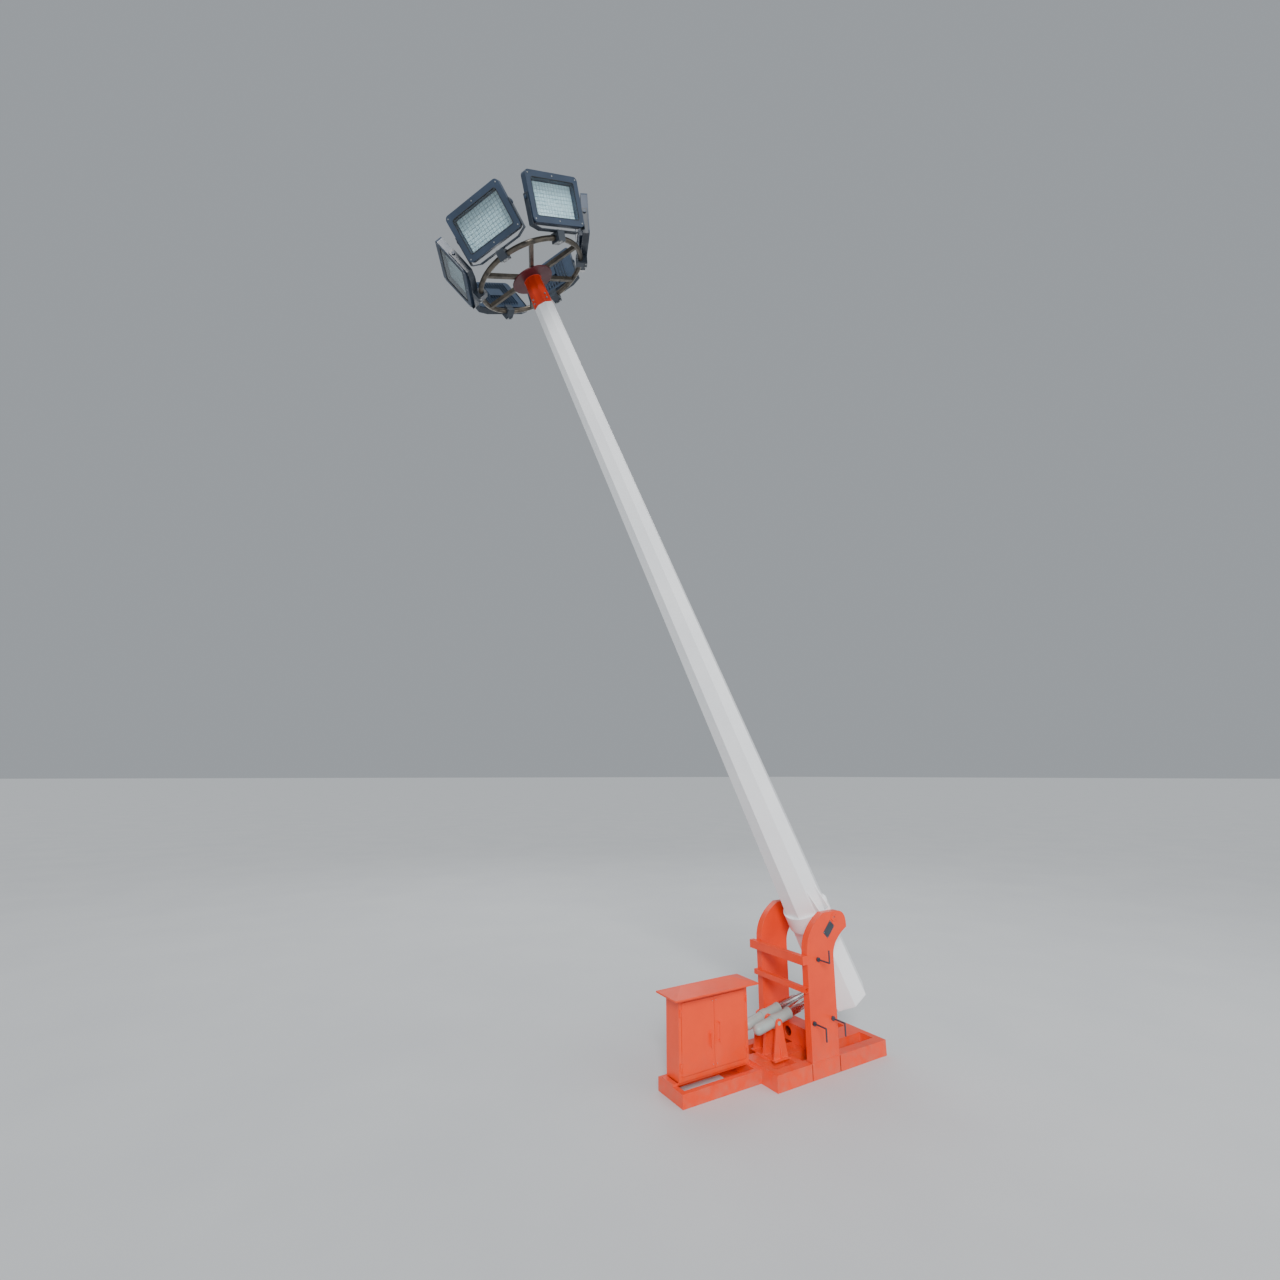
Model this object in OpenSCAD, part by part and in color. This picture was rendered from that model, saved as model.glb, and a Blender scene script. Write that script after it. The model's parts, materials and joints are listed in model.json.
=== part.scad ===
// Skid-mounted lighting mast that tips over on trunnions, with a crown of six floodlights.
// Millimetres. +Z is up, +X runs along the skid from the cabinet to the mast foot,
// -Y is the door side. The origin is on the floor, at the middle of the anchor holes.

/* [Main skid] */
// Length of the main skid along X
main_len = 1500; // [1300:10:1800]
// Width of the main skid over its side beams
main_wid = 730; // [700:5:900]
// Height of the main skid beams
main_h = 145; // [120:5:180]
// Width of the side beams
side_beam_w = 100; // [90:1:120]
// Width of the end beams
end_beam_w = 75; // [50:1:110]
// Width of the centre beam under the rams
centre_beam_w = 200; // [180:1:240]
// Plate thickness of the skid beams
skid_plate = 8; // [5:1:12]

/* [Anchor feet] */
// Spacing of the anchor holes along X
anchor_dx = 1270; // [1100:10:1290]
// Spacing of the anchor holes along Y
anchor_dy = 430; // [380:5:450]
// Diameter of the anchor holes
anchor_d = 22; // [14:1:26]
// Thickness of the anchor feet
anchor_t = 12; // [8:1:20]

/* [Cabinet skid] */
// Length of the cabinet skid along X
sub_len = 890; // [880:5:1100]
// Width of the cabinet skid
sub_wid = 390; // [370:5:480]
// Sideways offset of the cabinet skid's middle
sub_y = 50; // [0:5:80]
// Width of the cabinet skid beams
sub_beam_w = 50; // [40:1:70]
// Height of the cabinet skid beams
sub_h = 115; // [90:5:140]

/* [Uprights] */
// Thickness of an upright along Y
up_t = 75; // [60:1:90]
// Depth of an upright along X
up_d = 365; // [320:5:420]
// X of the upright's cabinet-side edge
up_x = -300; // [-340:5:-260]
// Height at which the upright starts to lean
up_knee = 1075; // [1000:5:1120]
// Total height of the upright
up_h = 1445; // [1420:5:1520]
// Gap between the upright's foot and the skid beam at each side
up_slot = 12; // [6:1:20]

/* [Trunnion] */
// X of the trunnion axis
pivot_x = 105; // [80:5:120]
// Height of the trunnion axis
pivot_z = 1390; // [1370:5:1410]
// Diameter of the trunnion pins
pin_d = 50; // [40:1:56]
// Wall of the trunnion bushes
bush_wall = 6; // [3:0.5:8]

/* [Mast] */
// Angle of the mast from upright as it stands here
lean = 28; // [20:1:32]
// Length of the mast pole above the trunnions
pole_up = 6860; // [5500:20:7400]
// Length of the mast pole below the trunnions
pole_down = 1000; // [980:10:1020]
// Width over flats of the pole at the trunnions
pole_af = 420; // [380:2:426]
// Width over flats of the pole at its top
pole_af_top = 190; // [170:2:220]
// Wall of the pole
pole_wall = 5; // [3:0.5:8]

/* [Lifting rams] */
// X of the ram trunnions
ram_x = -500; // [-510:5:-480]
// Height of the ram trunnions
ram_z = 460; // [440:5:480]
// Distance of each ram from the middle
ram_y = 75; // [72:1:80]
// Outside diameter of the ram barrels
barrel_d = 100; // [90:1:104]
// Length of a barrel behind its trunnion
barrel_rear = 255; // [245:1:258]
// Length of a barrel in front of its trunnion
barrel_front = 205; // [198:1:208]
// Extension of each of the three ram stages as it stands here
stage_out = 119.6; // [115:0.1:120]
// Distance of the ram lugs below the trunnion axis, along the mast
lug_down = 740; // [720:5:760]
// Distance of the ram lug holes from the mast's middle
lug_out = 310; // [300:1:316]

/* [Cabinet] */
// Width of the cabinet along X
cab_w = 804; // [740:2:810]
// Depth of the cabinet body along Y
cab_d = 204; // [190:2:240]
// Height of the cabinet body
cab_h = 690; // [600:5:700]
// Sheet thickness of the cabinet
cab_t = 2.5; // [1.5:0.5:4]
// Overhang of the roof at the doors and ends
roof_over = 100; // [60:5:110]
// Rise of the roof from eaves to ridge
roof_rise = 42; // [20:1:60]

/* [Lamp crown] */
// Radius of the lamp ring to the middle of its tube
ring_r = 540; // [535:5:640]
// Diameter of the ring tube
ring_d = 48; // [40:1:50]
// Height of the ring above the top of the pole
ring_up = 325; // [320:5:360]
// Direction of the first lamp about the mast
lamp_turn = 36; // [0:0.5:60]
// Outward lean of the lamp clamps
lamp_lean = 20; // [15:1:30]
// Width of a lamp
lamp_w = 600; // [500:5:602]
// Height of a lamp
lamp_h = 410; // [320:5:412]
// Depth of a lamp's body
lamp_d = 66; // [60:1:68]

/* [Hidden] */
$fn = 64;
lamp_count = 6;
lamp_step = 360 / lamp_count;
contact_gap = 0.3;
run_fit = 0.05;

// colours
orange = [0.95, 0.36, 0.16];
mast_white = [0.93, 0.94, 0.95];
slate = [0.27, 0.31, 0.36];
ram_grey = [0.60, 0.64, 0.65];
lamp_blue = [0.24, 0.28, 0.34];
maroon = [0.24, 0.12, 0.16];

// places on the skid
main_x0 = -main_len / 2;
main_x1 = main_len / 2;
main_y1 = main_wid / 2;
up_x1 = up_x + up_d;
arm_reach = 212;
arm_rise = 205;
arm_round = 130;
arm_back = 255;
bend_drop = 45;
bend_lift = 15;
bend_steps = 10;
up_in = main_y1 - up_t;
sub_x0 = main_x0 - sub_len;
sub_y0 = sub_y - sub_wid / 2;
sub_y1 = sub_y + sub_wid / 2;
bay_floor_len = 190;

// cross pieces between the uprights
cross_box_x = -110;
cross_box_w = 180;
cross_box_h = 170;
tube_side = 80;
tube_depth = 60;
tube_z = 1000;
bar_d = 48;
bar_z = 776;
tube_past = 40;

// ram line, from its trunnion to the mast lug
lug_x = pivot_x + lug_down * sin(lean) - lug_out * cos(lean);
lug_z = pivot_z - lug_down * cos(lean) - lug_out * sin(lean);
ram_len = norm([lug_x - ram_x, lug_z - ram_z]);
ram_angle = atan2(lug_z - ram_z, lug_x - ram_x);
barrel_wall = 6;
stage_wall = 7;
stage_one_d = barrel_d - 2 * barrel_wall - 2 * run_fit;
stage_two_d = stage_one_d - 2 * stage_wall - 2 * run_fit;
rod_d = stage_two_d - 2 * stage_wall - 2 * run_fit;
stage_step = 8;
stage_spare = 5;
stage_len = barrel_rear - barrel_d / 2 + barrel_front - stage_spare;
ram_pin_d = 40;
ring_clear = 2;
trunnion_ring_d = barrel_d + 12;
ram_lug_t = 16;
ram_lug_in = trunnion_ring_d / 2 + ring_clear;
lug_pin_d = 36;
lug_t = 24;
lug_r = 32;
cheek_t = 10;
cheek_gap = 1;
throat = 65;

// the mast pole narrows evenly from butt to top
function pole_width(z) = pole_af + (pole_af_top - pole_af) * z / pole_up;
function corner_r(flats) = flats / 2 / cos(22.5);
spigot = 120;
socket_len = 290;
socket_wall = 7;
socket_narrow = 26;
socket_bolt_z = [40, 85];
function socket_flat(z) = (pole_af_top - socket_narrow * z / socket_len) / 2;
flange_r = 210;
flange_t = 12;
flange_z = pole_up + socket_len;
band_r = pole_af / 2 + 32;
band_lo = -110;
band_hi = 60;

// the two pairs of plates that carry the mast between the uprights
plate_x = 62;
plate_t = 14;
plate_end = up_in - 6;

// cabinet places
plinth_h = 20;
cab_x0 = main_x0 - 24 - cab_w;
cab_x1 = cab_x0 + cab_w;
cab_y0 = sub_y - 55;
cab_y1 = cab_y0 + cab_d;
cab_z0 = sub_h + plinth_h;
cab_z1 = cab_z0 + cab_h;
door_t = 22;
door_gap = 3;
door_margin = 32;
door_top_rail = 52;
door_bottom_rail = 40;
door_mid = (cab_x0 + cab_x1) / 2;
door_w = cab_w / 2 - door_margin - door_gap / 2;
door_z0 = cab_z0 + door_bottom_rail;
door_h = cab_h - door_bottom_rail - door_top_rail;
hinge_d = 14;
hinge_pin_d = 7;
hinge_y = cab_y0 - 9;
hinge_len = 60;
hinge_inset = 50;
hinge_z = [door_z0 + hinge_inset, door_z0 + door_h - hinge_inset - hinge_len];
// place of the hinge pin of each door: side is -1 at the left, 1 at the right
function hinge_x(side) = door_mid + side * (cab_w / 2 - door_margin / 2);
lever_x = door_mid - 46;
pull_x = door_mid + 44;
handle_z = door_z0 + door_h * 0.5;
spindle_d = 14;
gland_x = cab_x0 + 110;
gland_y = cab_y1 - 50;
gland_hole = 25;
gland_bore = 15;
gland_drop = 18;
plate_gap = 14;

// crank handles
crank_d = 16;
crank_boss_d = 42;
crank_out = 150;
crank_arm = 112;
crank_places = [[-158, 1030], [-255, 480], [0, 480]];

// lamps, in the frame of a clamp: x is outward, y along the ring tube, z up the lamp
clamp_y = 80;
clamp_x0 = -44;
clamp_x1 = 68;
clamp_z = 42;
strap_w = 60;
strap_t = 6;
strap_x = 8;
yoke_bevel = 90;
yoke_rise = 34;
lamp_side_gap = 5;
yoke_half = lamp_w / 2 + lamp_side_gap + strap_t;
lamp_px = strap_x + strap_w / 2;
lamp_pz = clamp_z + strap_t + 40 + lamp_h / 2;
lamp_back = 24;
lamp_corner = 38;
lamp_border = 52;
glass_t = 5;
lamp_bolt_d = 16;

// ---- helpers ----

// rounded rectangle made of exact arcs
module round_rect(w, h, r) {
    square([w - 2 * r, h], center = true);
    square([w, h - 2 * r], center = true);
    for (x = [-1, 1], y = [-1, 1])
        translate([x * (w / 2 - r), y * (h / 2 - r)]) circle(r);
}

// beam folded from plate, open underneath
module folded_beam(x, y, h, t) {
    difference() {
        cube([x, y, h]);
        translate([t, t, -1]) cube([x - 2 * t, y - 2 * t, h - t + 1]);
    }
}

// hexagon head bolt standing up from z = 0
module bolt(d, len, head = 0.65) {
    translate([0, 0, -len]) cylinder(d = d, h = len);
    cylinder(d = 1.8 * d, h = head * d, $fn = 6);
}

// the mast's own frame: z along the pole, origin on the trunnion axis
module on_mast() {
    translate([pivot_x, 0, pivot_z]) rotate([0, -lean, 0]) children();
}

// one ram's own frame: z along the ram, origin on its trunnion
module on_ram(side) {
    translate([ram_x, side * ram_y, ram_z]) rotate([0, 90 - ram_angle, 0]) children();
}

// a clamp's own frame on the lamp ring
module on_clamp(k) {
    on_mast() translate([0, 0, pole_up + ring_up])
        rotate([0, 0, lamp_turn + k * lamp_step])
            translate([ring_r, 0, 0]) rotate([0, lamp_lean, 0]) children();
}

// octagonal pole solid between two heights, grown by g over its flats
module octagon(z0, z1, g = 0) {
    translate([0, 0, z0]) rotate([0, 0, 22.5])
        cylinder(r1 = corner_r(pole_width(z0) + g), r2 = corner_r(pole_width(z1) + g),
            h = z1 - z0, $fn = 8);
}

// ---- skid ----

module upright_notch(side) {
    y = side > 0 ? up_in : -main_y1 - 1;
    translate([up_x - up_slot, y, -1]) cube([up_d + 2 * up_slot, up_t + 1, main_h + 2]);
}

module skid_main_frame() {
    inner = main_y1 - side_beam_w;
    run = main_len - 2 * end_beam_w;
    color(orange) difference() {
        union() {
            for (y = [-main_y1, inner])
                translate([main_x0, y, 0]) folded_beam(main_len, side_beam_w, main_h, skid_plate);
            for (x = [main_x0, main_x1 - end_beam_w])
                translate([x, -inner - skid_plate, 0])
                    folded_beam(end_beam_w, 2 * inner + 2 * skid_plate, main_h, skid_plate);
            translate([main_x0 + end_beam_w - skid_plate, -centre_beam_w / 2, 0])
                folded_beam(run + 2 * skid_plate, centre_beam_w, main_h, skid_plate);
            translate([up_x - 110, -inner - skid_plate, 0])
                folded_beam(end_beam_w, 2 * inner + 2 * skid_plate, main_h, skid_plate);
        }
        for (side = [-1, 1]) upright_notch(side);
    }
}

module skid_cabinet_frame() {
    color(orange) {
        for (y = [sub_y0, sub_y1 - sub_beam_w])
            translate([sub_x0, y, 0]) folded_beam(sub_len, sub_beam_w, sub_h, 6);
        translate([sub_x0, sub_y0 + sub_beam_w, 0])
            folded_beam(sub_beam_w, sub_wid - 2 * sub_beam_w, sub_h, 6);
        translate([main_x0 - 40, sub_y0 + sub_beam_w, 0])
            folded_beam(40, sub_wid - 2 * sub_beam_w, sub_h, 6);
        translate([main_x0 - 40 - bay_floor_len, sub_y0 + sub_beam_w, 0])
            cube([bay_floor_len, sub_wid - 2 * sub_beam_w, 8]);
    }
}

module anchor_feet() {
    inner = main_y1 - side_beam_w;
    foot_y = inner - (anchor_dy / 2 - 45);
    stud_x = main_x0 - 40 - bay_floor_len / 2;
    color(slate) {
        for (x = [-1, 1], y = [-1, 1])
            difference() {
                translate([x * (main_x1 - end_beam_w - 45), y * (inner - foot_y / 2), anchor_t / 2])
                    cube([90, foot_y, anchor_t], center = true);
                translate([x * anchor_dx / 2, y * anchor_dy / 2, -1])
                    cylinder(d = anchor_d, h = anchor_t + 2);
            }
        translate([stud_x, sub_y0 + sub_beam_w + 35, 8]) {
            cylinder(d = 16, h = 62);
            cylinder(d = 38, h = 3);
            translate([0, 0, 3]) cylinder(d = 28, h = 13, $fn = 6);
        }
    }
}

module foot_crossbeam() {
    color(orange) difference() {
        translate([cross_box_x, -up_in, main_h]) cube([cross_box_w, 2 * up_in, cross_box_h]);
        translate([cross_box_x + 8, -up_in - 1, main_h + 8])
            cube([cross_box_w - 16, 2 * up_in + 2, cross_box_h - 16]);
        for (y = [-150, 150])
            translate([cross_box_x - 1, y, main_h + cross_box_h / 2])
                rotate([0, 90, 0]) cylinder(d = 90, h = 10);
    }
}

// ---- uprights ----

// smooth bend from p to q that leaves p towards c and reaches q from c
function bend(p, c, q) = [for (i = [0:bend_steps]) let (t = i / bend_steps)
    (1 - t) * (1 - t) * p + 2 * t * (1 - t) * c + t * t * q];

// side view of an upright, with its edges moved in by t
module upright_outline(t = 0) {
    back = up_x + t;
    front = up_x1 - t;
    nose = up_x1 + arm_reach - t;
    top = up_h - t;
    polygon(concat([[back, t]],
        [[front, t]],
        bend([front, up_knee - bend_drop], [front, up_knee + arm_rise / 2], [nose, up_knee + arm_rise]),
        bend([nose, up_knee + arm_rise + 25], [nose, top], [nose - arm_round, top]),
        bend([up_x + arm_back + t, top], [back, top - arm_round], [back, up_knee + bend_lift])));
}

module upright(side) {
    y0 = side > 0 ? up_in : -main_y1;
    crank_y = side > 0 ? up_in - 1 : -main_y1 - 1;
    color(orange) difference() {
        translate([0, y0 + up_t, 0]) rotate([90, 0, 0]) linear_extrude(up_t) upright_outline();
        difference() {
            translate([0, y0 + up_t - 8, 0]) rotate([90, 0, 0])
                linear_extrude(up_t - 16) upright_outline(8);
            translate([pivot_x, y0, pivot_z]) rotate([-90, 0, 0])
                cylinder(d = pin_d + 2 * bush_wall + 24, h = up_t);
            if (side < 0) for (c = crank_places)
                translate([c[0], y0, c[1]]) rotate([-90, 0, 0]) cylinder(d = 46, h = up_t);
        }
        translate([pivot_x, y0 - 1, pivot_z]) rotate([-90, 0, 0])
            cylinder(d = pin_d + 2 * bush_wall, h = up_t + 2);
        if (side < 0) for (c = crank_places)
            translate([c[0], crank_y, c[1]]) rotate([-90, 0, 0])
                cylinder(d = crank_d + 2 * run_fit, h = up_t + 2);
    }
}

module upright_near() { upright(-1); }
module upright_far() { upright(1); }

module upper_cross_tube() {
    color(orange) difference() {
        translate([up_x - tube_depth, -main_y1, tube_z])
            cube([tube_depth, main_wid + tube_past, tube_side]);
        translate([up_x - tube_depth + 5, -main_y1 + 5, tube_z + 5])
            cube([tube_depth - 10, main_wid + tube_past, tube_side - 10]);
    }
}

module lower_cross_tube() {
    color(orange) translate([up_x - bar_d, -main_y1, bar_z - bar_d / 2]) difference() {
        cube([bar_d, main_wid, bar_d]);
        translate([4, -1, 4]) cube([bar_d - 8, main_wid + 2, bar_d - 8]);
    }
}

module trunnion_bushes() {
    color("goldenrod") for (y = [-main_y1, up_in])
        translate([pivot_x, y, pivot_z]) rotate([-90, 0, 0]) difference() {
            cylinder(d = pin_d + 2 * bush_wall, h = up_t);
            translate([0, 0, -1]) cylinder(d = pin_d + 2 * run_fit, h = up_t + 2);
        }
}

module trunnion_caps() {
    cap_d = pin_d + 2 * bush_wall + 24;
    color(orange) for (side = [-1, 1])
        translate([pivot_x, side * main_y1, pivot_z]) rotate([-90 * side, 0, 0]) difference() {
            union() {
                cylinder(d = cap_d, h = 6);
                for (a = [45:90:315])
                    rotate([0, 0, a]) translate([cap_d / 2 - 8, 0, 6]) cylinder(d = 11, h = 5, $fn = 6);
            }
            translate([0, 0, -1]) cylinder(d = 22, h = 8);
        }
}

// ---- ram bracket ----

module bracket_lug(y, t) {
    translate([ram_x, y + t, 0]) rotate([90, 0, 0]) linear_extrude(t) difference() {
        union() {
            translate([0, ram_z]) circle(38);
            polygon([[-85, main_h + 12], [95, main_h + 12], [34, ram_z + 17], [-34, ram_z + 17]]);
        }
        translate([0, ram_z]) circle(ram_pin_d / 2 + run_fit);
    }
}

module ram_bracket() {
    outer = ram_y + ram_lug_in;
    mid_t = 2 * (ram_y - ram_lug_in);
    rib_h = 150;
    color(orange) {
        translate([ram_x - 95, -outer - 40, main_h]) cube([200, 2 * outer + 80, 12]);
        bracket_lug(-mid_t / 2, mid_t);
        bracket_lug(outer, ram_lug_t);
        bracket_lug(-outer - ram_lug_t, ram_lug_t);
        for (side = [-1, 1]) {
            y = side > 0 ? outer + ram_lug_t : -outer - ram_lug_t;
            translate([ram_x - 6, y, main_h + 12]) rotate([90, 0, 90]) linear_extrude(12)
                polygon([[0, 0], [side * 24, 0], [0, rib_h]]);
        }
    }
}

// ---- rams ----

module ram_barrels() {
    color(ram_grey) for (side = [-1, 1]) on_ram(side) {
        difference() {
            union() {
                translate([0, 0, -barrel_rear + barrel_d / 2])
                    cylinder(d = barrel_d, h = barrel_rear + barrel_front - barrel_d / 2);
                translate([0, 0, -barrel_rear + barrel_d / 2]) sphere(d = barrel_d);
                translate([0, 0, -35]) cylinder(d = trunnion_ring_d, h = 70);
                translate([0, 0, barrel_front - 26]) cylinder(d = barrel_d + 8, h = 26);
                rotate([90, 0, 0])
                    translate([0, 0, -ram_lug_in - ram_lug_t])
                        cylinder(d = ram_pin_d, h = 2 * (ram_lug_in + ram_lug_t));
            }
            translate([0, 0, -barrel_rear + barrel_d / 2])
                cylinder(d = barrel_d - 2 * barrel_wall, h = barrel_rear + barrel_front);
        }
    }
}

// one telescopic stage, as a tube whose mouth stands n steps past the barrel's
module ram_tube(d, n, out) {
    front = barrel_front + n * stage_step + out;
    difference() {
        translate([0, 0, front - stage_len]) cylinder(d = d, h = stage_len);
        translate([0, 0, front - stage_len - 1]) cylinder(d = d - 2 * stage_wall, h = stage_len + 2);
    }
}

module ram_stage_one() {
    color(ram_grey) for (side = [-1, 1]) on_ram(side) ram_tube(stage_one_d, 1, stage_out);
}

module ram_stage_two() {
    color(ram_grey) for (side = [-1, 1]) on_ram(side) ram_tube(stage_two_d, 2, 2 * stage_out);
}

module ram_rods() {
    rear = barrel_front + 3 * stage_step + 3 * stage_out - stage_len;
    block_lo = ram_len - throat - 30;
    cheek_in = lug_t / 2 + cheek_gap;
    color(ram_grey) for (side = [-1, 1]) on_ram(side) {
        translate([0, 0, rear]) cylinder(d = rod_d, h = block_lo - rear);
        translate([-lug_r, -cheek_in - cheek_t, block_lo])
            cube([2 * lug_r, 2 * (cheek_in + cheek_t), 30]);
        for (y = [-cheek_in - cheek_t, cheek_in]) {
            translate([-lug_r, y, block_lo + 30]) cube([2 * lug_r, cheek_t, throat]);
            translate([0, y + cheek_t, ram_len]) rotate([90, 0, 0]) cylinder(r = lug_r, h = cheek_t);
        }
        for (s = [-1, 1])
            translate([0, s * (cheek_in + cheek_t), ram_len]) rotate([-90 * s, 0, 0])
                cylinder(d = lug_pin_d + 8, h = 8);
    }
}

// ---- cabinet ----

module cabinet_plinth() {
    color(orange) difference() {
        translate([sub_x0, cab_y0 + 12, sub_h]) cube([sub_len, cab_d - 24, plinth_h]);
        translate([sub_x0 + sub_beam_w, cab_y0 + 16, sub_h - 1])
            cube([sub_len - sub_beam_w - 40, cab_d - 32, plinth_h + 2]);
    }
}

module cabinet_shell() {
    color(orange) difference() {
        union() {
            difference() {
                translate([cab_x0, cab_y0, cab_z0]) cube([cab_w, cab_d, cab_h]);
                translate([cab_x0 + cab_t, cab_y0 - 1, cab_z0 + cab_t])
                    cube([cab_w - 2 * cab_t, cab_d - cab_t + 1, cab_h - 2 * cab_t]);
            }
            difference() {
                translate([cab_x0, cab_y0, cab_z0]) cube([cab_w, 26, cab_h]);
                translate([cab_x0 + door_margin + 12, cab_y0 - 1, door_z0 + 12])
                    cube([cab_w - 2 * door_margin - 24, 28, door_h - 24]);
            }
        }
        translate([cab_x0 + door_margin - door_gap, cab_y0 - 1, door_z0 - door_gap])
            cube([cab_w - 2 * door_margin + 2 * door_gap, door_t + 2, door_h + 2 * door_gap]);
        translate([gland_x, gland_y, cab_z0 - 1]) cylinder(d = gland_hole, h = cab_t + 2);
    }
}

module cabinet_roof() {
    x0 = cab_x0 - roof_over;
    x1 = cab_x1 + roof_over * 0.7;
    y0 = cab_y0 - roof_over;
    y1 = cab_y1 + 20;
    ridge_y = (cab_y0 + cab_y1) / 2 + 15;
    lip = 14;
    slope = ridge_y - y0;
    color(orange) translate([0, 0, cab_z1]) difference() {
        union() {
            translate([x0, y0, 0]) cube([x1 - x0, y1 - y0, lip]);
            polyhedron(points = [[x0, y0, lip], [x1, y0, lip], [x1, y1, lip], [x0, y1, lip],
                    [x0 + slope, ridge_y, lip + roof_rise], [x1 - slope, ridge_y, lip + roof_rise]],
                faces = [[0, 1, 2, 3], [0, 4, 5, 1], [1, 5, 2], [2, 5, 4, 3], [3, 4, 0]]);
        }
        translate([x0 + 3, y0 + 3, -1]) cube([x1 - x0 - 6, cab_y0 - y0 - 3, 9]);
    }
}

module cabinet_mounting_plate() {
    color("gainsboro") {
        translate([cab_x0 + 40, cab_y1 - cab_t - plate_gap, cab_z0 + 60]) cube([cab_w - 80, 3, cab_h - 110]);
        for (x = [cab_x0 + 60, cab_x1 - 60], z = [cab_z0 + 90, cab_z1 - 90])
            translate([x, cab_y1 - cab_t, z]) rotate([90, 0, 0]) cylinder(d = 12, h = plate_gap - 3);
    }
}

module circuit_breakers() {
    face = cab_y1 - cab_t - plate_gap;
    rail_z = cab_z0 + 470;
    color("whitesmoke") {
        translate([cab_x0 + 70, face - 8, rail_z - 17]) cube([330, 8, 35]);
        for (i = [0:7])
            translate([cab_x0 + 85 + i * 36, face - 74, rail_z - 42]) {
                cube([34, 66, 84]);
                translate([10, -8, 36]) cube([14, 8, 14]);
            }
    }
}

module pump_unit() {
    tank_d = 120;
    tank_h = 190;
    back = cab_y1 - cab_t - plate_gap;
    color("dimgray") translate([cab_x1 - 300, back - tank_d, cab_z0 + cab_t]) {
        cube([230, tank_d, tank_h]);
        translate([70, tank_d / 2, tank_h]) cylinder(d = 96, h = 170);
        translate([140, 20, tank_h]) cube([70, 80, 62]);
    }
}

module cable_gland() {
    nut_h = 6;
    color(slate) translate([gland_x, gland_y, cab_z0]) difference() {
        union() {
            translate([0, 0, cab_t]) cylinder(d = 34, h = nut_h, $fn = 6);
            translate([0, 0, -nut_h]) cylinder(d = 36, h = nut_h, $fn = 6);
            translate([0, 0, -gland_drop]) cylinder(d = 28, h = gland_drop - nut_h);
            translate([0, 0, -nut_h]) cylinder(d = gland_hole - 0.2, h = cab_t + 2 * nut_h);
        }
        translate([0, 0, -gland_drop - 1]) cylinder(d = gland_bore, h = gland_drop + cab_t + nut_h + 2);
    }
}

module door_hinge_leaves() {
    color(slate) for (side = [-1, 1], z = hinge_z) {
        translate([hinge_x(side), hinge_y, z]) difference() {
            union() {
                cylinder(d = hinge_d, h = hinge_len / 2 - 0.5);
                translate([side > 0 ? 0 : -10, 0, 0]) cube([10, cab_y0 - hinge_y, hinge_len / 2 - 0.5]);
            }
            translate([0, 0, -1]) cylinder(d = hinge_pin_d + 2 * run_fit, h = hinge_len);
        }
    }
}

// door leaf with its folded edge, hinge knuckles, hinge pins and lock studs
module door(side) {
    x0 = side < 0 ? cab_x0 + door_margin : door_mid + door_gap / 2;
    knuckle_z = hinge_len / 2 + 0.5;
    stud_x = door_mid + side * 22;
    reach = door_margin / 2 + 14;
    color(orange) {
        difference() {
            translate([x0, cab_y0 - 1, door_z0]) cube([door_w, door_t, door_h]);
            translate([x0 + 2, cab_y0 + 1, door_z0 + 2]) cube([door_w - 4, door_t, door_h - 4]);
            if (side < 0) translate([lever_x, cab_y0 - 2, handle_z]) rotate([-90, 0, 0])
                cylinder(d = spindle_d + 2 * run_fit, h = 6);
        }
        for (z = [door_z0 + 34, door_z0 + door_h - 34])
            translate([stud_x, cab_y0 - 1, z]) rotate([90, 0, 0]) cylinder(d = 14, h = 4);
    }
    color(slate) for (z = hinge_z) translate([hinge_x(side), hinge_y, z]) {
        cylinder(d = hinge_pin_d, h = hinge_len);
        translate([0, 0, knuckle_z]) cylinder(d = hinge_d, h = hinge_len - knuckle_z);
        translate([side > 0 ? -reach : 0, cab_y0 - 3.5 - hinge_y, knuckle_z])
            cube([reach, 2.5, hinge_len - knuckle_z]);
        translate([side > 0 ? -5 : 0, 0, knuckle_z])
            cube([5, cab_y0 - 1 - hinge_y, hinge_len - knuckle_z]);
    }
}

module door_left() { door(-1); }
module door_right() { door(1); }

module door_lever() {
    color(slate) translate([lever_x, cab_y0 - 1, handle_z]) {
        rotate([90, 0, 0]) cylinder(d = 34, h = 10);
        rotate([-90, 0, 0]) translate([0, 0, -10]) cylinder(d = spindle_d, h = 40);
        translate([0, -10, 0]) rotate([90, 0, 0]) cylinder(d = 22, h = 14);
        translate([-8, -24, -118]) cube([16, 10, 118]);
        translate([-8, 26, -9]) cube([50, 4, 18]);
    }
}

module door_pull() {
    span = 150;
    color(orange) translate([pull_x, cab_y0 - 1, handle_z]) {
        for (z = [-span / 2, span / 2])
            translate([0, 0, z]) rotate([90, 0, 0]) cylinder(d = 12, h = 32);
        translate([0, -32, -span / 2 - 6]) cylinder(d = 12, h = span + 12);
    }
}

// ---- mast ----

module mast_pole() {
    top = pole_up + spigot;
    color(mast_white) on_mast() difference() {
        union() {
            octagon(-pole_down, pole_up);
            octagon(pole_up, top, -2 * socket_wall);
        }
        octagon(-pole_down - 1, top + 1, -2 * pole_wall - 2 * socket_wall);
        octagon(-pole_down - 1, pole_up - 60, -2 * pole_wall);
    }
}

module mast_band() {
    color(mast_white) on_mast() {
        difference() {
            translate([0, 0, band_lo]) cylinder(r = band_r, h = band_hi - band_lo);
            octagon(band_lo - 1, band_hi + 1);
            for (s = [-1, 1]) translate([0, s * band_r, 0])
                cube([plate_x * 2 + 40, band_r, 400], center = true);
        }
    }
}

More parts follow.
